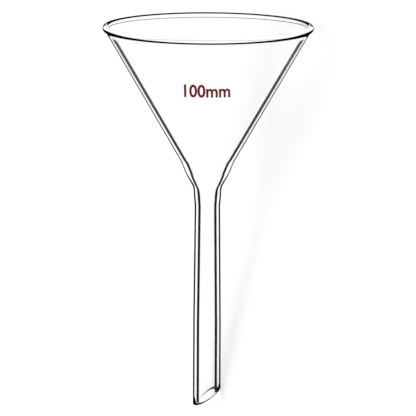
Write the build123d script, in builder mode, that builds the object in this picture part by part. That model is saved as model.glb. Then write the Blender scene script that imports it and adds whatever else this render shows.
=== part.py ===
from build123d import *
from math import atan2, cos, degrees, radians, sin, tan
import os

# A conical glass funnel with a long stem, blown and drawn in one piece of clear glass.
# It lies on a table as it comes to rest by itself, on its rim and on the end of its stem.
# Sizes are in millimetres and angles in degrees. Heights run up the funnel's own axis,
# from the point of the bevelled tip to the mouth.

# Bowl: a plain 60 degree cone with a fire-rounded bead round the mouth
mouth_dia = 100.0
bowl_angle = 60.0
bowl_wall = 2.5
rim_dia = 3.2

# Foot of the bowl, where the wall swells a little and draws in to the stem
foot_dia = 25.1
foot_height = 20.8
swell_dia = 20.6
swell_height = 15.0
collar_low_dia = 12.9
collar_low_height = 4.0
collar_top_dia = 13.3
collar_top_height = 8.6
throat_dia = 9.8
throat_height = 10.2
neck_bore_height = 1.5

# Stem: narrowest at the neck, a little wider downwards, with a straight end
neck_dia = 12.1
neck_bore = 7.0
neck_height = 97.0
stem_dia = 13.2
stem_bore = 8.2
straight_length = 40.0

# Tip: ground off at a slant
bevel_angle = 34.0

# Radii that run one stretch of the wall into the next
drawn_radius = 25.0
foot_radius = 8.0
throat_radius = 2.0

stem_r = stem_dia / 2
rim_r = rim_dia / 2
half = radians(bowl_angle / 2)
slant = tan(half)
side_wall = bowl_wall / cos(half)
grade = tan(radians(bevel_angle))

# The bead touches the bowl's inner face, and stands proud of the outer one
bead_r = mouth_dia / 2 - rim_r
bowl_r_at_bead = bead_r - rim_r / cos(half) + side_wall
bowl_start = neck_height + foot_height
bead_height = bowl_start + (bowl_r_at_bead - foot_dia / 2) / slant


def tip_reach(fall, across):
    """How far the slanted end of the stem reaches down a direction.

    fall is the direction's share along the axis away from the mouth, across its share
    square to the axis, towards the tip's short side. Measured from the tip's point.
    """
    return stem_r * (abs(across - grade * fall) - grade * fall)


def rim_reach(fall, across):
    """The same for the rim's bead."""
    return bead_r * across - bead_height * fall + rim_r


# Lying down, the funnel rolls until the tip's short side is lowest. Then the rim and
# the tip reach the table together: a few steps give the tilt.
tilt = atan2(bead_r - stem_r, bead_height)
for step in range(8):
    gap = rim_reach(sin(tilt), cos(tilt)) - tip_reach(sin(tilt), cos(tilt))
    tilt += gap / bead_height

# The origin is on the table, under the middle of the funnel's length
table_drop = rim_reach(sin(tilt), cos(tilt))
back = -tip_reach(cos(tilt), -sin(tilt))
front = rim_reach(-cos(tilt), sin(tilt))
start = Vector(0, -(front + back) / 2, table_drop)

along = Vector(0, cos(tilt), sin(tilt))
short_side = Vector(0, sin(tilt), -cos(tilt))

# Half of the lengthwise section, on a plane through the axis and the tip's short side
section_plane = Plane(origin=start, x_dir=short_side, z_dir=short_side.cross(along))
stem_axis = Axis(start, along)

with BuildPart() as funnel:
    with BuildSketch(section_plane) as wall:
        with BuildLine():
            outside = [
                (stem_r, 0),
                (stem_r, straight_length),
                (neck_dia / 2, neck_height),
                (collar_low_dia / 2, neck_height + collar_low_height),
                (collar_top_dia / 2, neck_height + collar_top_height),
                (swell_dia / 2, neck_height + swell_height),
                (foot_dia / 2, bowl_start),
                (bowl_r_at_bead, bead_height),
            ]
            inside = [
                (bead_r - rim_r * cos(half), bead_height + rim_r * sin(half)),
                (foot_dia / 2 - side_wall, bowl_start),
                (throat_dia / 2, neck_height + throat_height),
                (neck_bore / 2, neck_height + neck_bore_height),
                (stem_bore / 2, straight_length),
                (stem_bore / 2, 0),
            ]
            outside_radii = [0, 0, drawn_radius, drawn_radius, foot_radius, drawn_radius, drawn_radius, 0]
            inside_radii = [0, drawn_radius, throat_radius, drawn_radius, 0, 0]
            FilletPolyline(*outside, *inside, radius=outside_radii + inside_radii, close=True)
        make_face()
        with Locations((bead_r, bead_height)):
            Circle(rim_r)
    revolve(axis=stem_axis)

    # The slanted cut leaves the tip's point on the side away from short_side
    point = start - short_side * stem_r
    cut_normal = along * cos(radians(bevel_angle)) - short_side * sin(radians(bevel_angle))
    tip_cut = Plane(origin=point, z_dir=cut_normal)
    split(bisect_by=tip_cut, keep=Keep.TOP)

funnel.part.label = "funnel"
os.makedirs("parts", exist_ok=True)
export_step(funnel.part, "parts/funnel.step")

box = funnel.part.bounding_box()
print("tilt", round(degrees(tilt), 3), "volume", round(funnel.part.volume, 1))
print("box", [round(v, 3) for v in (*box.min, *box.max)])
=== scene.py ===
"""A clear glass laboratory funnel lying on a white table, seen as in the photograph.

The CAD frame gives the funnel's place. This script builds a finer skin of the same form
for the glass, prints a size mark on the bowl, and sets the table, the light and the camera.
"""

import logging
from dataclasses import dataclass, field
from enum import Enum
from math import acos, atan2, cos, degrees, hypot, pi, radians, sin, sqrt, tan
from typing import Any

import bmesh
import bpy
from mathutils import Matrix, Vector

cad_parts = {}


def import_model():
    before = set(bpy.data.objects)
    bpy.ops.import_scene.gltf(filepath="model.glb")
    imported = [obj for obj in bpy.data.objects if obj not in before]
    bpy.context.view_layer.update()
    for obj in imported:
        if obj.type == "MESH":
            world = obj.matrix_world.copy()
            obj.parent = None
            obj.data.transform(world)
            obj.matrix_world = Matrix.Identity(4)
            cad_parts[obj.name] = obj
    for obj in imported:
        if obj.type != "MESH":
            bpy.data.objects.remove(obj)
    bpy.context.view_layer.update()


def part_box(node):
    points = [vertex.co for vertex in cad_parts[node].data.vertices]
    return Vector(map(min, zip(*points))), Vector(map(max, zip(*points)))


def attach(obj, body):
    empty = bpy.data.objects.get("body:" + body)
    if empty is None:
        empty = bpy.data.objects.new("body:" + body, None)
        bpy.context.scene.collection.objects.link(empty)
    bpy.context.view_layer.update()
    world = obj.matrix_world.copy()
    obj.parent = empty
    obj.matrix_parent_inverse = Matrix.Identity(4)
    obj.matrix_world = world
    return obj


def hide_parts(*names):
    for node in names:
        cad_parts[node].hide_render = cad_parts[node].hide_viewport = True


log = logging.getLogger("funnel")

Point = tuple[float, float]
Colour = tuple[float, float, float, float]

MM = 0.001
WHITE: Colour = (1.0, 1.0, 1.0, 1.0)
GLASS_IOR = 1.473

# Each point of the glass holds the two facing values between which its skin is painted
# dark, as painted shade along the glass's edges.
# A facing value is 0 where the skin is met squarely and 1 where it is edge-on.
START = "painted_shade_start"
END = "painted_shade_end"

# No facing value reaches this, so it stands for a painted dark line that never starts or never ends.
CLEAR = 2.0

# An end this high never ends either, and the line is painted dark from both sides of the skin.
BOTH_SIDES = 4.0
BOTH_SIDES_FROM = 3.5


class Wall(Enum):
    """The two skins of the glass, each a material slot of the mesh."""

    OUTSIDE = 0
    INSIDE = 1


# Colours and nodes


def linear(hex_colour: str) -> Colour:
    """Turns an sRGB colour into the linear one that Blender's sockets take.

    Args:
        hex_colour: six hexadecimal digits, such as "C02830".

    Returns:
        Red, green, blue and an alpha of 1, linear.
    """

    def channel(start: int) -> float:
        """Turns the two digits that start at a place to linear."""
        value = int(hex_colour[start : start + 2], 16) / 255
        return value / 12.92 if value <= 0.04045 else ((value + 0.055) / 1.055) ** 2.4

    return channel(0), channel(2), channel(4), 1.0


def add_node(
    tree: bpy.types.NodeTree, kind: str, settings: dict[str, Any] | None = None, **inputs: Any
) -> bpy.types.Node:
    """Adds a node with its settings and what goes into its sockets.

    Args:
        tree: the node tree that gets it.
        kind: the node's type, such as "ShaderNodeMath".
        settings: the node's own properties by name.
        inputs: socket values or output sockets. A name such as Base_Color stands for
            the socket "Base Color", and i0 for the first socket.

    Returns:
        The new node.
    """
    node = tree.nodes.new(kind)
    for name, value in (settings or {}).items():
        setattr(node, name, value)
    for name, value in inputs.items():
        numbered = name[0] == "i" and name[1:].isdigit()
        socket = node.inputs[int(name[1:]) if numbered else name.replace("_", " ")]
        if isinstance(value, bpy.types.NodeSocket):
            tree.links.new(value, socket)
        else:
            socket.default_value = value
    return node


def new_material(name: str) -> tuple[bpy.types.Material, bpy.types.NodeTree]:
    """Makes an empty material with nodes.

    Args:
        name: what the real material is called.

    Returns:
        The material and its node tree.
    """
    material = bpy.data.materials.new(name)
    material.use_nodes = True
    material.node_tree.nodes.clear()
    return material, material.node_tree


# Outlines, as points of (radius, height)


def arc(centre: Vector, radius: float, start: float, sweep: float, steps: int) -> list[Point]:
    """Puts points on an arc.

    Args:
        centre: the arc's centre.
        radius: its radius.
        start: the angle of its first point.
        sweep: the angle it turns through.
        steps: how many pieces it has.

    Returns:
        The points, both ends included.
    """
    angles = [start + sweep * step / steps for step in range(steps + 1)]
    return [(centre.x + radius * cos(angle), centre.y + radius * sin(angle)) for angle in angles]


def rounded(corners: list[Point], radii: list[float], steps: int) -> list[Point]:
    """Rounds the inner corners of an open outline with arcs.

    Args:
        corners: the outline's corners.
        radii: one radius for each corner; 0 keeps it sharp.
        steps: how many pieces each arc has.

    Returns:
        The outline's points, the ends as they were.
    """
    out = [corners[0]]
    for before, corner, after, radius in zip(corners, corners[1:], corners[2:], radii[1:]):
        if radius == 0:
            out.append(corner)
            continue
        here = Vector(corner)
        back = (Vector(before) - here).normalized()
        ahead = (Vector(after) - here).normalized()
        opening = acos(max(-1.0, min(1.0, back.dot(ahead))))
        reach = radius / tan(opening / 2)
        centre = here + (back + ahead).normalized() * (radius / sin(opening / 2))
        first, last = here + back * reach - centre, here + ahead * reach - centre
        sweep = (pi - opening) * (1 if first.cross(last) > 0 else -1)
        out += arc(centre, radius, atan2(first.y, first.x), sweep, steps)
    return out + [corners[-1]]


def pieces_of(outline: list[Point], longest: float) -> list[int]:
    """Works out how many pieces each stretch of an outline is cut into.

    Args:
        outline: the outline's points.
        longest: the longest piece.

    Returns:
        One number for each stretch.
    """
    return [max(1, round(hypot(b[0] - a[0], b[1] - a[1]) / longest)) for a, b in zip(outline, outline[1:])]


def spaced(outline: list[Point], pieces: list[int]) -> list[Point]:
    """Adds points on an outline's long straight stretches.

    Args:
        outline: the outline's points.
        pieces: how many pieces each stretch gets.

    Returns:
        The outline with more points, in the same place.
    """
    out = [outline[0]]
    for a, b, count in zip(outline, outline[1:], pieces):
        for k in range(1, count + 1):
            out.append((a[0] + (b[0] - a[0]) * k / count, a[1] + (b[1] - a[1]) * k / count))
    return out


def between(at: float, points: tuple[Point, ...]) -> float:
    """Reads a value off a line through some points.

    Args:
        at: where to read it.
        points: (place, value) pairs in order; the end values go on outwards.

    Returns:
        The value there.
    """
    for (left, low), (right, high) in zip(points, points[1:]):
        if at < right:
            return low + (high - low) * max(0.0, at - left) / (right - left)
    return points[-1][1]


# The funnel's form and place


@dataclass(frozen=True)
class FunnelForm:
    """The glass's own sizes in metres.

    They are the CAD part's, but for three that the fire softens: the edges of the tip,
    the hollow under the bead and the bend in the throat. Heights run up the axis from
    the point of the slanted tip to the mouth.
    """

    # Bowl, and the bead round its mouth
    mouth_r: float = 50.0 * MM
    half_angle: float = radians(30)
    bowl_wall: float = 2.5 * MM
    rim_r: float = 1.6 * MM
    rim_hollow: float = 3.0 * MM

    # Foot of the bowl, where the wall swells and draws in to the stem
    foot_r: float = 12.55 * MM
    foot_height: float = 20.8 * MM
    swell_r: float = 10.3 * MM
    swell_height: float = 15.0 * MM
    collar_low_r: float = 6.45 * MM
    collar_low_height: float = 4.0 * MM
    collar_top_r: float = 6.65 * MM
    collar_top_height: float = 8.6 * MM
    throat_r: float = 4.9 * MM
    throat_height: float = 10.2 * MM
    neck_bore_height: float = 1.5 * MM

    # Stem and its bore, from the neck down to the tip's slanted end
    neck_r: float = 6.05 * MM
    neck_bore_r: float = 3.5 * MM
    neck_height: float = 97.0 * MM
    stem_r: float = 6.6 * MM
    stem_bore_r: float = 4.1 * MM
    straight_length: float = 40.0 * MM
    bevel_angle: float = radians(34)
    edge_round: float = 0.4 * MM

    # Radii that run one stretch of the wall into the next
    drawn_radius: float = 25.0 * MM
    throat_radius: float = 12.0 * MM
    foot_radius: float = 8.0 * MM

    # How finely the outline is cut
    arc_steps: int = 12
    bead_steps: int = 36
    stretch: float = 4.0 * MM

    @property
    def side_wall(self) -> float:
        """The bowl's wall, measured square to the axis."""
        return self.bowl_wall / cos(self.half_angle)

    @property
    def bead_r(self) -> float:
        """How far the middle of the rim's bead is from the axis."""
        return self.mouth_r - self.rim_r

    @property
    def outer_r_at_bead(self) -> float:
        """The bowl's outer radius at the bead's height."""
        return self.bead_r - self.rim_r / cos(self.half_angle) + self.side_wall

    @property
    def bowl_start(self) -> float:
        """Where the straight cone begins."""
        return self.neck_height + self.foot_height

    @property
    def bead_height(self) -> float:
        """The height of the bead's middle."""
        return self.bowl_start + (self.outer_r_at_bead - self.foot_r) / tan(self.half_angle)

    @property
    def middle_r(self) -> float:
        """The middle of the tip's cut face, where the two skins meet."""
        return (self.stem_r + self.stem_bore_r) / 2

    @property
    def outer_corners(self) -> list[Point]:
        """The outer skin's corners, from the top of the straight stem to the cone's foot."""
        neck = self.neck_height
        return [
            (self.stem_r, self.straight_length),
            (self.neck_r, neck),
            (self.collar_low_r, neck + self.collar_low_height),
            (self.collar_top_r, neck + self.collar_top_height),
            (self.swell_r, neck + self.swell_height),
            (self.foot_r, self.bowl_start),
        ]

    def cut(self, radius: float, turn: float) -> Point:
        """The slanted cut's point at a radius and a turn from the tip's short side."""
        return radius, tan(self.bevel_angle) * (self.stem_r + radius * cos(turn))

    def outer_r(self, height: float) -> float:
        """The outer skin's radius at a height, with its corners left sharp."""
        corners = self.outer_corners + [(self.outer_r_at_bead, self.bead_height)]
        return between(height, tuple((at, radius) for radius, at in corners))

    def cone_r(self, height: float) -> float:
        """The bowl's outer radius at a height."""
        return self.foot_r + (height - self.bowl_start) * tan(self.half_angle)

    def bead(self) -> list[Point]:
        """Shapes the rim.

        Returns:
            The points from the bowl's outer face, through a small hollow and round the
            bead, to the bowl's inner face.
        """
        along = Vector((sin(self.half_angle), cos(self.half_angle)))
        outward = Vector((cos(self.half_angle), -sin(self.half_angle)))
        centre = Vector((self.bead_r, self.bead_height))
        aside = self.bowl_wall - self.rim_r + self.rim_hollow
        drop = sqrt((self.rim_r + self.rim_hollow) ** 2 - aside**2)
        hollow_centre = centre - along * drop + outward * aside
        to_bead = centre - hollow_centre
        inward = atan2(-outward.y, -outward.x)
        sweep = (atan2(to_bead.y, to_bead.x) - inward + pi) % (2 * pi) - pi
        hollow = arc(hollow_centre, self.rim_hollow, inward, sweep, self.arc_steps)
        start = atan2(-to_bead.y, -to_bead.x)
        return hollow[:-1] + arc(centre, self.rim_r, start, (inward - start) % (2 * pi), self.bead_steps)

    def outside(self, turn: float) -> list[Point]:
        """Draws the outer skin's outline.

        Args:
            turn: the angle round the axis from the tip's short side.

        Returns:
            The points from the middle of the tip's cut face to the mouth.
        """
        bead = self.bead()
        corners = [self.cut(self.middle_r, turn), self.cut(self.stem_r, turn), *self.outer_corners, bead[0]]
        drawn = self.drawn_radius
        radii = [0, self.edge_round, drawn, drawn, drawn, self.foot_radius, drawn, drawn, 0]
        return rounded(corners, radii, self.arc_steps) + bead[1:]

    def inside(self, turn: float) -> list[Point]:
        """Draws the inner skin's outline.

        Args:
            turn: the angle round the axis from the tip's short side.

        Returns:
            The points from the mouth back to the middle of the tip's cut face.
        """
        corners = [
            self.bead()[-1],
            (self.foot_r - self.side_wall, self.bowl_start),
            (self.throat_r, self.neck_height + self.throat_height),
            (self.neck_bore_r, self.neck_height + self.neck_bore_height),
            (self.stem_bore_r, self.straight_length),
            self.cut(self.stem_bore_r, turn),
            self.cut(self.middle_r, turn),
        ]
        drawn = self.drawn_radius
        radii = [0, drawn, self.throat_radius, drawn, drawn, self.edge_round, 0]
        return rounded(corners, radii, self.arc_steps)


@dataclass(frozen=True)
class Place:
    """Where the funnel lies: on its rim and on the short side of its tip.

    The axis starts at the height of the tip's point. The directions run up the axis, and
    from the axis to the tip's short side.
    """

    start: Vector
    along: Vector
    short_side: Vector

    @classmethod
    def lying(cls, form: FunnelForm, low: Vector, steps: int = 8) -> "Place":
        """Works out the lie from the form and the CAD node's box.

        Args:
            form: the funnel's sizes.
            low: the box's lowest corner.
            steps: how often the tilt is mended, until rim and tip reach the table.

        Returns:
            The place.
        """
        short_height = form.cut(form.stem_r, 0)[1]
        tilt = atan2(form.bead_r - form.stem_r, form.bead_height)
        for _ in range(steps):
            rim = form.bead_r * cos(tilt) - form.bead_height * sin(tilt) + form.rim_r
            tip = form.stem_r * cos(tilt) - short_height * sin(tilt)
            tilt += (rim - tip) / form.bead_height
        start = Vector((0, low.y + form.stem_r * sin(tilt), low.z + tip))
        return cls(start, Vector((0, cos(tilt), sin(tilt))), Vector((0, sin(tilt), -cos(tilt))))

    @property
    def sideways(self) -> Vector:
        """Square to the axis and to the short side."""
        return self.short_side.cross(self.along)

    def spoke(self, turn: float) -> Vector:
        """The direction out from the axis at a turn from the tip's short side."""
        return self.short_side * cos(turn) + self.sideways * sin(turn)

    def at(self, radius: float, height: float, turn: float) -> Vector:
        """The point of the scene at a radius, a height and a turn."""
        return self.start + self.along * height + self.spoke(turn) * radius


# Finishes


@dataclass(frozen=True)
class ClearGlass:
    """Borosilicate glass, blown and drawn, with a fire-polished skin.

    The fire leaves the skin as smooth as a liquid's, so the eye sees clear, colourless
    glass with no bloom, that bends what is behind it. In the photograph thin black lines
    run along the outline and the bore. Glass in this white room would show hardly any,
    so the skin itself is painted dark where it turns edge-on, from every side: painted
    shade in place of the dark edges. The angles are fitted to the photograph's lines, and
    come from no real surroundings.
    """

    name: str
    skin: Wall
    # The colour of the painted shade, an unlit near-black laid on the glass's edges
    tint: str = "FEFEFE"
    black: str = "060707"
    shade: str = "E4E7E6"

    # How far the facing value runs on while a dark line comes or goes
    soft: float = 0.006

    # The share of its reflection that glass keeps on the air's side. More of the white
    # room would grey the painted black lines.
    sheen: float = 0.35

    # Light caught in the glass would end in black after the last bounce, so it is let
    # through when it has been mirrored or has met the skin more often than this.
    most_mirrored: float = 2.5
    most_met: float = 8.5

    def make(self) -> bpy.types.Material:
        """Builds the material.

        Returns:
            Clear glass with painted shade along its edges, which throws a pale shadow.
        """
        material, tree = new_material(self.name)
        path = add_node(tree, "ShaderNodeLightPath").outputs
        within = add_node(tree, "ShaderNodeNewGeometry").outputs["Backfacing"]
        # Painted shade: a near-black emission mixed in where the skin turns edge-on
        black = add_node(tree, "ShaderNodeEmission", Color=linear(self.black), Strength=1.0).outputs[0]
        dark = self.painted_shade_share(tree, within)
        glass_with_painted_shade = add_node(tree, "ShaderNodeMixShader", i0=dark, i1=self.clear_skin(tree, within), i2=black)
        through = add_node(tree, "ShaderNodeBsdfTransparent", Color=WHITE).outputs[0]
        caught = self.caught_share(tree, path)
        seen = add_node(tree, "ShaderNodeMixShader", i0=caught, i1=glass_with_painted_shade.outputs[0], i2=through).outputs[0]
        shadow = add_node(tree, "ShaderNodeBsdfTransparent", Color=linear(self.shade)).outputs[0]
        surface = add_node(tree, "ShaderNodeMixShader", i0=path["Is Shadow Ray"], i1=seen, i2=shadow)
        add_node(tree, "ShaderNodeOutputMaterial", Surface=surface.outputs[0])
        return material

    def painted_shade_share(self, tree: bpy.types.NodeTree, within: bpy.types.NodeSocket) -> bpy.types.NodeSocket:
        """Finds where the skin is painted dark.

        Args:
            tree: the material's node tree.
            within: 1 where light meets the skin from within the glass.

        Returns:
            1 between the facing values that the skin's points hold, for light that meets
            the outer skin from the air, or the inner skin from within the glass.
        """
        less, ramp = ({"operation": name, "use_clamp": True} for name in ("SUBTRACT", "DIVIDE"))
        high, more = {"operation": "GREATER_THAN"}, {"operation": "MAXIMUM"}
        facing = add_node(tree, "ShaderNodeLayerWeight", Blend=0.5).outputs["Facing"]
        held, past = {}, {}
        for edge in (START, END):
            held[edge] = add_node(tree, "ShaderNodeAttribute", {"attribute_name": edge}).outputs["Fac"]
            gone = add_node(tree, "ShaderNodeMath", {"operation": "SUBTRACT"}, i0=facing, i1=held[edge])
            past[edge] = add_node(tree, "ShaderNodeMath", ramp, i0=gone.outputs[0], i1=self.soft).outputs[0]
        both = add_node(tree, "ShaderNodeMath", high, i0=held[END], i1=BOTH_SIDES_FROM).outputs[0]
        side = within
        if self.skin is Wall.OUTSIDE:
            side = add_node(tree, "ShaderNodeMath", less, i0=1.0, i1=within).outputs[0]
        side = add_node(tree, "ShaderNodeMath", more, i0=side, i1=both).outputs[0]
        band = add_node(tree, "ShaderNodeMath", less, i0=past[START], i1=past[END]).outputs[0]
        return add_node(tree, "ShaderNodeMath", {"operation": "MULTIPLY"}, i0=band, i1=side).outputs[0]

    def clear_skin(self, tree: bpy.types.NodeTree, within: bpy.types.NodeSocket) -> bpy.types.NodeSocket:
        """Makes the glass where it isn't painted dark.

        Args:
            tree: the material's node tree.
            within: 1 where light meets the skin from within the glass.

        Returns:
            Bent light, mixed with mirrored light by the glass's reflection.
        """
        more, times = {"operation": "MAXIMUM"}, {"operation": "MULTIPLY"}
        fresnel = add_node(tree, "ShaderNodeFresnel", IOR=GLASS_IOR).outputs[0]
        kept = add_node(tree, "ShaderNodeMath", more, i0=within, i1=self.sheen).outputs[0]
        mirror = add_node(tree, "ShaderNodeMath", times, i0=fresnel, i1=kept).outputs[0]
        bent = add_node(
            tree, "ShaderNodeBsdfRefraction", Color=linear(self.tint), Roughness=0.0, IOR=GLASS_IOR
        ).outputs[0]
        shine = add_node(tree, "ShaderNodeBsdfAnisotropic", Color=WHITE, Roughness=0.0).outputs[0]
        return add_node(tree, "ShaderNodeMixShader", i0=mirror, i1=bent, i2=shine).outputs[0]

    def caught_share(self, tree: bpy.types.NodeTree, path: bpy.types.NodeOutputs) -> bpy.types.NodeSocket:
        """Finds the light that is caught in the glass.

        Args:
            tree: the material's node tree.
            path: the light path's outputs.

        Returns:
            1 for light that has bounced about in the glass too often.
        """
        high, more = {"operation": "GREATER_THAN"}, {"operation": "MAXIMUM"}
        mirrored = add_node(tree, "ShaderNodeMath", high, i0=path["Glossy Depth"], i1=self.most_mirrored)
        met = add_node(tree, "ShaderNodeMath", high, i0=path["Ray Depth"], i1=self.most_met)
        return add_node(tree, "ShaderNodeMath", more, i0=mirrored.outputs[0], i1=met.outputs[0]).outputs[0]


@dataclass(frozen=True)
class FiredEnamel:
    """Enamel, screen printed on the bowl and fired into it.

    It melts to an even, opaque layer, so the eye sees a deep red with hardly a highlight.
    """

    colour: str = "6C0412"
    ior: float = 1.5
    roughness: float = 0.6
    gloss: float = 0.1

    def make(self) -> bpy.types.Material:
        """Builds the material.

        Returns:
            Red paint with a faint gloss.
        """
        material, tree = new_material("red_fired_enamel")
        paint = add_node(
            tree,
            "ShaderNodeBsdfPrincipled",
            Base_Color=linear(self.colour),
            IOR=self.ior,
            Roughness=self.roughness,
            Specular_IOR_Level=self.gloss,
        )
        add_node(tree, "ShaderNodeOutputMaterial", Surface=paint.outputs[0])
        return material


@dataclass(frozen=True)
class WhiteTable:
    """Matt white laminate.

    It scatters light evenly, so the eye sees plain white with a soft, pale shadow.
    """

    colour: str = "F8F8F8"

    # The share of plain white in what the camera sees, straight or in the glass. It
    # takes the table to the photograph's white ground and lights nothing.
    own_white: float = 0.35

    def make(self) -> bpy.types.Material:
        """Builds the material.

        Returns:
            Diffuse white, lifted for the camera, for mirrored and for bent light.
        """
        material, tree = new_material("white_table_top")
        more, times = {"operation": "MAXIMUM"}, {"operation": "MULTIPLY"}
        path = add_node(tree, "ShaderNodeLightPath").outputs
        seen = path["Is Camera Ray"]
        for ray in ("Is Glossy Ray", "Is Transmission Ray"):
            seen = add_node(tree, "ShaderNodeMath", more, i0=seen, i1=path[ray]).outputs[0]
        share = add_node(tree, "ShaderNodeMath", times, i0=seen, i1=self.own_white).outputs[0]
        matt = add_node(tree, "ShaderNodeBsdfDiffuse", Color=linear(self.colour)).outputs[0]
        white = add_node(tree, "ShaderNodeEmission", Color=WHITE, Strength=1.0).outputs[0]
        surface = add_node(tree, "ShaderNodeMixShader", i0=share, i1=matt, i2=white)
        add_node(tree, "ShaderNodeOutputMaterial", Surface=surface.outputs[0])
        return material


# The funnel's pieces


@dataclass
class GlassFunnel:
    """The funnel's glass: one closed skin with the CAD part's form, and finer."""

    form: FunnelForm
    place: Place
    sides: int = 320

    # How far in from its outline the outer skin is painted dark
    stem_edge_shade: float = 0.71 * MM
    bowl_edge_shade: float = 0.55 * MM

    # Where the cut end of the stem is painted dark
    painted_tip_shade: tuple[float, float] = (0.3, BOTH_SIDES)

    # Where the bead is painted dark, by the degrees round its section from straight outwards
    bead_shade_starts: tuple[Point, ...] = (
        (-25, 0.15),
        (14, 0.6),
        (18, 0.86),
        (86, 0.86),
        (90, 0.15),
        (139, 0.15),
        (143, CLEAR),
    )
    bead_shade_ends: tuple[Point, ...] = ((-51, BOTH_SIDES), (-50, CLEAR), (86, CLEAR), (90, 0.86))

    # The stem's bore is painted dark for light that comes in this far inside the outline
    stem_bore_shade_depths: tuple[float, float] = (2.9 * MM, 1.76 * MM)

    # In the bowl, what these give over the outer radius is added to the facing value
    # at which the inner skin turns to a mirror, and the skin is painted dark between the two
    bowl_bore_shade_shifts: tuple[float, float] = (-0.17 * MM, 0.62 * MM)

    obj: bpy.types.Object | None = field(default=None, init=False)

    def build(self) -> bpy.types.Object:
        """Lofts the closed section round the axis.

        Returns:
            The mesh object.
        """
        work = bmesh.new()
        for name in (START, END):
            work.verts.layers.float.new(name)
        outer_pieces = pieces_of(self.form.outside(pi / 2), self.form.stretch)
        inner_pieces = pieces_of(self.form.inside(pi / 2), self.form.stretch)
        turns = [2 * pi * side / self.sides for side in range(self.sides)]
        rings = [self.ring(work, turn, outer_pieces, inner_pieces) for turn in turns]
        outer_count = sum(outer_pieces)
        for ring, after in zip(rings, rings[1:] + rings[:1]):
            for k, vert in enumerate(ring):
                ahead = (k + 1) % len(ring)
                face = work.faces.new((vert, ring[ahead], after[ahead], after[k]))
                face.smooth = True
                face.material_index = (Wall.OUTSIDE if k < outer_count else Wall.INSIDE).value
        bmesh.ops.recalc_face_normals(work, faces=work.faces[:])
        mesh = bpy.data.meshes.new("funnel_glass")
        work.to_mesh(mesh)
        work.free()
        self.obj = bpy.data.objects.new("funnel_glass", mesh)
        bpy.context.scene.collection.objects.link(self.obj)
        return self.obj

    def ring(
        self, work: bmesh.types.BMesh, turn: float, outer_pieces: list[int], inner_pieces: list[int]
    ) -> list[bmesh.types.BMVert]:
        """Adds the section's points at one turn, with their painted dark lines.

        Args:
            work: the mesh that gets them.
            turn: the angle round the axis from the tip's short side.
            outer_pieces: how many pieces each stretch of the outer outline has.
            inner_pieces: the same for the inner outline.

        Returns:
            The points, up the outer skin and back down the inner one.
        """
        start, end = (work.verts.layers.float[name] for name in (START, END))
        outside = spaced(self.form.outside(turn), outer_pieces)
        inside = spaced(self.form.inside(turn), inner_pieces)[1:-1]
        tip_end = self.form.arc_steps + 1
        lines = [self.painted_tip_shade] * (tip_end + 1)
        lines += [self.outline(radius, height) for radius, height in outside[tip_end + 1 :]]
        lines += [self.painted_bore_shade(radius, height) for radius, height in inside]
        verts = []
        for (radius, height), line in zip(outside + inside, lines):
            vert = work.verts.new(self.place.at(radius, height, turn))
            vert[start], vert[end] = line
            verts.append(vert)
        return verts

    def stem_share(self, height: float) -> float:
        """How much the glass at a height is stem, from 1 below the foot to 0 above it."""
        share = between(height, ((self.form.neck_height, 1.0), (self.form.bowl_start, 0.0)))
        return share * share * (3 - 2 * share)

    def outline(self, radius: float, height: float) -> tuple[float, float]:
        """Finds where a point of the outer skin is painted dark.

        Args:
            radius: the point's distance from the axis.
            height: its height.

        Returns:
            The facing values at which the painted shade starts and ends.
        """
        across, up = radius - self.form.bead_r, height - self.form.bead_height
        near_bead = 1.01 * self.form.rim_r
        if hypot(across, up) < near_bead:
            turn = degrees(atan2(up, across))
            return between(turn, self.bead_shade_starts), between(turn, self.bead_shade_ends)
        share = self.stem_share(height)
        depth = self.bowl_edge_shade + (self.stem_edge_shade - self.bowl_edge_shade) * share
        slope = self.form.half_angle * (1 - share)
        return 1 - cos(slope) * sqrt(2 * depth / radius), CLEAR

    def painted_bore_shade(self, radius: float, height: float) -> tuple[float, float]:
        """Finds where a point of the inner skin is painted dark.

        Args:
            radius: the point's distance from the axis.
            height: its height.

        Returns:
            The facing values at which the painted shade starts and ends.
        """
        share = self.stem_share(height)
        outer = self.form.outer_r(height)
        mirrored = 1 - sqrt(1 - 1 / GLASS_IOR**2)
        values = []
        for shift, depth in zip(self.bowl_bore_shade_shifts, self.stem_bore_shade_depths):
            sine = min(1.0, (outer - depth) / (GLASS_IOR * radius))
            stem = 1 - sqrt(1 - sine * sine)
            values.append((mirrored + shift / outer) * (1 - share) + stem * share)
        return values[0], values[1]

    def dress(self) -> None:
        """Gives both skins their glass and sets the piece in the frame."""
        self.obj.data.materials.append(ClearGlass("borosilicate_outer_skin", Wall.OUTSIDE).make())
        self.obj.data.materials.append(ClearGlass("borosilicate_inner_skin", Wall.INSIDE).make())
        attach(self.obj, "root")
        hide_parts("funnel")


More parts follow.
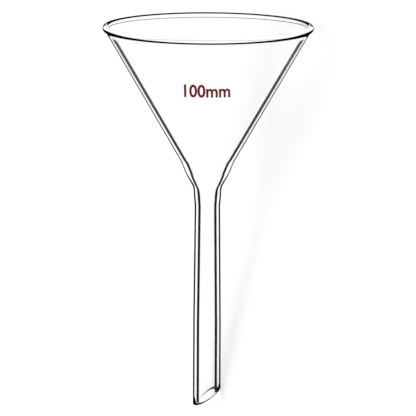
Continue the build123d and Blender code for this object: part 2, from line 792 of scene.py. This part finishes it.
@dataclass
class SizeMark:
    """The mouth's size, printed on the bowl in plain figures."""

    form: FunnelForm
    place: Place
    words: str = "100mm"

    # How far the figures' edges are moved outwards, as a share of their size
    weight: float = 0.024

    # How much taller the figures are than the plain font's
    stretch: float = 1.32

    # The middle of the print, its width, and how thick it lies on the glass
    turn: float = radians(111.5)
    height: float = 156.1 * MM
    width: float = 22.0 * MM
    thickness: float = 0.05 * MM
    lift: float = 0.01 * MM

    # How finely its curves are drawn, and how often it is cut so that it can bend
    curve_steps: int = 6
    slices: int = 48

    obj: bpy.types.Object | None = field(default=None, init=False)

    def build(self) -> bpy.types.Object:
        """Lays the figures round the cone.

        Returns:
            The mesh object.
        """
        mesh = self.flat_figures()
        work = bmesh.new()
        work.from_mesh(mesh)
        bmesh.ops.remove_doubles(work, verts=work.verts[:], dist=1e-5)
        across = [vert.co.x for vert in work.verts]
        scale = self.width / (max(across) - min(across))
        half = self.slices // 2
        for step in range(-half, half + 1):
            edge = (step / half * max(across), 0, 0)
            parts = work.verts[:] + work.edges[:] + work.faces[:]
            bmesh.ops.bisect_plane(work, geom=parts, plane_co=edge, plane_no=(1, 0, 0))
        for vert in work.verts:
            vert.co = self.on_cone(vert.co.x * scale, vert.co.y * scale * self.stretch, vert.co.z + 0.5)
        bmesh.ops.recalc_face_normals(work, faces=work.faces[:])
        work.to_mesh(mesh)
        work.free()
        mesh.name = "size_mark"
        self.obj = bpy.data.objects.new("size_mark", mesh)
        bpy.context.scene.collection.objects.link(self.obj)
        return self.obj

    def flat_figures(self) -> bpy.types.Mesh:
        """Sets the figures flat in the plain font.

        Returns:
            Their mesh, centred, one unit thick.
        """
        curve = bpy.data.curves.new("size_mark", "FONT")
        curve.body = self.words
        curve.align_x = "CENTER"
        curve.align_y = "CENTER"
        curve.extrude = 0.5
        curve.offset = self.weight
        curve.resolution_u = self.curve_steps
        text = bpy.data.objects.new("size_mark_text", curve)
        bpy.context.scene.collection.objects.link(text)
        bpy.context.view_layer.update()
        mesh = bpy.data.meshes.new_from_object(text)
        bpy.data.objects.remove(text)
        return mesh

    def on_cone(self, across: float, up: float, layer: float) -> Vector:
        """Finds where a point of the flat print lies on the cone.

        Args:
            across: how far it is from the print's middle, round the bowl.
            up: how far it is up the slope.
            layer: 0 at the glass and 1 at the print's face.

        Returns:
            The point in the scene.
        """
        height = self.height + up * cos(self.form.half_angle)
        off = self.lift + self.thickness * layer
        radius = self.form.cone_r(height) + off * cos(self.form.half_angle)
        turn = self.turn - across / self.form.cone_r(height)
        return self.place.at(radius, height - off * sin(self.form.half_angle), turn)

    def dress(self) -> None:
        """Gives the print its enamel and sets it in the frame."""
        self.obj.data.materials.append(FiredEnamel().make())
        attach(self.obj, "root")


# Table, light and camera


@dataclass(frozen=True)
class Studio:
    """A white table in a white room, with one soft lamp above it."""

    # The table's top lies a hair below the funnel, so that their faces stay apart
    table_size: float = 12.0
    table_drop: float = 0.2 * MM

    # The room is white to the eye, and lights matt surfaces a little less
    room_light: float = 0.9

    lamp_size: float = 1.2
    lamp_power: float = 8.0
    lamp_height: float = 1.6

    def build(self) -> None:
        """Sets up the table, the room and the lamp."""
        self.lay_table()
        self.light_room()
        self.hang_lamp()

    def lay_table(self) -> None:
        """Lays the table top."""
        bpy.ops.mesh.primitive_plane_add(size=self.table_size, location=(0, 0, -self.table_drop))
        table = bpy.context.object
        table.name = "table"
        table.data.materials.append(WhiteTable().make())

    def light_room(self) -> None:
        """Makes the white room round the table."""
        world = bpy.data.worlds.new("white_room")
        world.use_nodes = True
        world.node_tree.nodes.clear()
        tree = world.node_tree
        diffuse = add_node(tree, "ShaderNodeLightPath").outputs["Is Diffuse Ray"]
        strength = add_node(tree, "ShaderNodeMapRange", i0=diffuse, i3=1.0, i4=self.room_light).outputs[0]
        room = add_node(tree, "ShaderNodeBackground", Color=WHITE, Strength=strength)
        add_node(tree, "ShaderNodeOutputWorld", Surface=room.outputs[0])
        bpy.context.scene.world = world

    def hang_lamp(self) -> None:
        """Hangs a round softbox over the funnel."""
        lamp = bpy.data.lights.new("softbox", "AREA")
        lamp.shape = "DISK"
        lamp.size = self.lamp_size
        lamp.energy = self.lamp_power
        box = bpy.data.objects.new("softbox", lamp)
        box.location = (0, 0, self.lamp_height)
        bpy.context.scene.collection.objects.link(box)


@dataclass(frozen=True)
class Viewpoint:
    """The photograph's camera, placed by the funnel's own axis.

    It stands a little above the mouth's plane and well away, and its picture has the
    mouth at the top. The tip's short side is turned to the right and away from it.
    """

    form: FunnelForm
    place: Place
    turn: float = radians(110)
    rise: float = radians(7.31)
    distance: float = 2.5

    # The point of the axis that the camera aims at, how far it aims beside it, and how
    # far its picture is turned
    aim_height: float = 95.5 * MM
    aim_side: float = 0.28 * MM
    roll: float = radians(-0.22)

    # The picture's scale at the mouth, its width, the sensor's width in millimetres, and
    # how far the camera sees
    pixels_per_metre: float = 2112.0
    frame_pixels: int = 416
    sensor_width: float = 36.0
    sight: float = 50.0

    def build(self) -> bpy.types.Object:
        """Sets the camera.

        Returns:
            The camera object.
        """
        mouth = self.place.at(0, self.form.bead_height, 0)
        eye_height = self.form.bead_height + self.distance * tan(self.rise)
        eye = self.place.at(self.distance, eye_height, self.turn)
        right = self.place.along.cross(self.place.spoke(self.turn))
        target = self.place.at(0, self.aim_height, 0) + right * self.aim_side
        look = (target - eye).normalized()
        side = look.cross(self.place.along).normalized()
        rolled = Matrix.Rotation(self.roll, 3, look)
        axes = Matrix((rolled @ side, rolled @ side.cross(look), -look)).transposed().to_4x4()
        axes.translation = eye
        data = bpy.data.cameras.new("camera")
        data.sensor_width = self.sensor_width
        data.lens = self.pixels_per_metre * (eye - mouth).length / self.frame_pixels * self.sensor_width
        data.clip_end = self.sight
        camera = bpy.data.objects.new("camera", data)
        camera.matrix_world = axes
        bpy.context.scene.collection.objects.link(camera)
        bpy.context.scene.camera = camera
        return camera


def main() -> None:
    """Builds the funnel, the print, the table, the light and the camera."""
    logging.basicConfig(level=logging.INFO, format="%(name)s: %(message)s")
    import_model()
    form = FunnelForm()
    place = Place.lying(form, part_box("funnel")[0])
    for piece in (GlassFunnel(form, place), SizeMark(form, place)):
        built = piece.build()
        piece.dress()
        log.info("%s: %d faces", built.name, len(built.data.polygons))
    Studio().build()
    log.info("table, room and lamp are set")
    camera = Viewpoint(form, place).build()
    log.info("%s: lens %.0f mm", camera.name, camera.data.lens)
    bpy.context.scene.view_settings.view_transform = "Standard"


if __name__ == "__main__":
    main()
